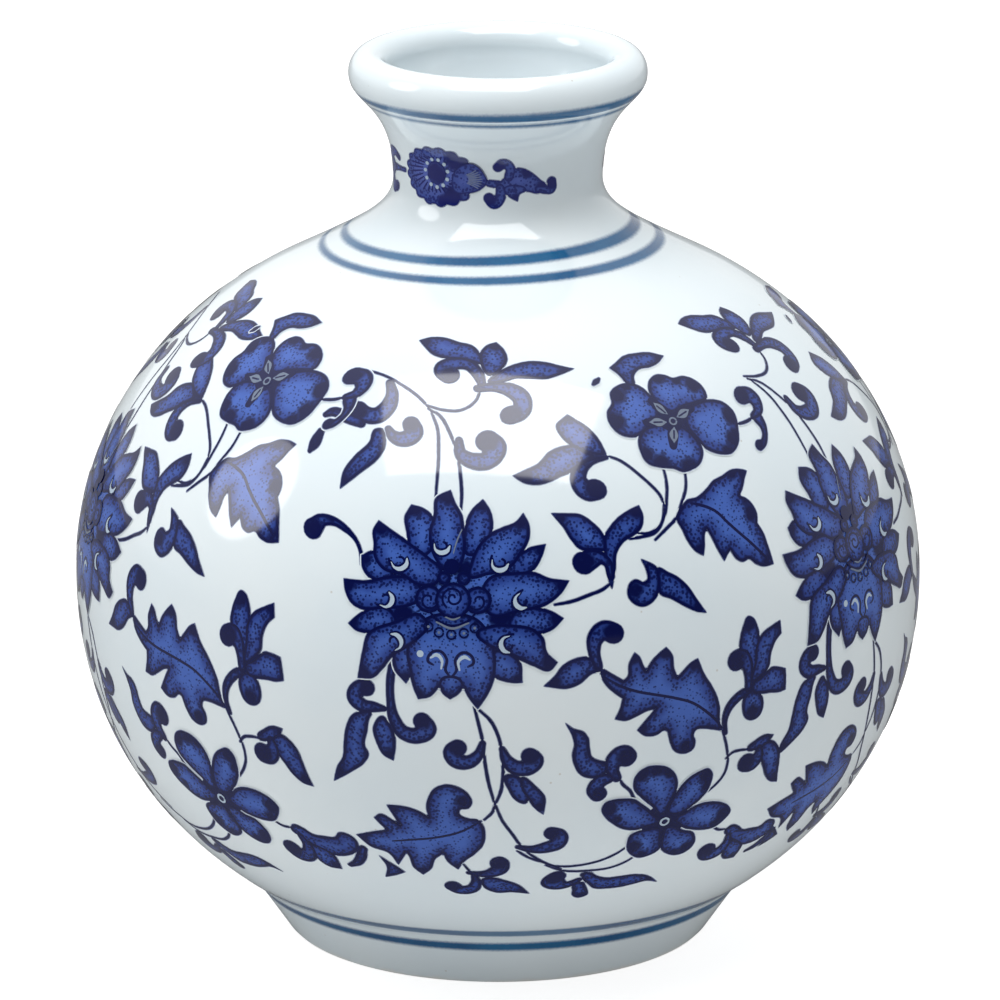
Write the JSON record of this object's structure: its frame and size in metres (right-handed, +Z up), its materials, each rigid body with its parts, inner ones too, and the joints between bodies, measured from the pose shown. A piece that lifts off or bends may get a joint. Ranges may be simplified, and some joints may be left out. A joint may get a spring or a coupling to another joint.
{
  "type": "porcelain ball vase",
  "caption": "Small ball-shaped porcelain vase with a waisted neck, rolled lip and low foot ring, holding flowers or standing alone.",
  "frame": {"origin": "centre of the foot ring's standing face, on the table", "axes": "+Z up the vase's axis of turning, towards the mouth; -Y is the decorated side that faces the viewer"},
  "size_m": [0.0996, 0.0996, 0.1057],
  "materials": {
    "foot": "satin",
    "body": "glossy blue-white glaze over cobalt painting",
    "lip": "glossy blue-white glaze"
  },
  "bodies": {
    "root": {"foot_ring": "foot", "lower_body": "body", "upper_body": "body", "neck": "body", "lip_ring": "lip"}
  },
  "joints": []
}
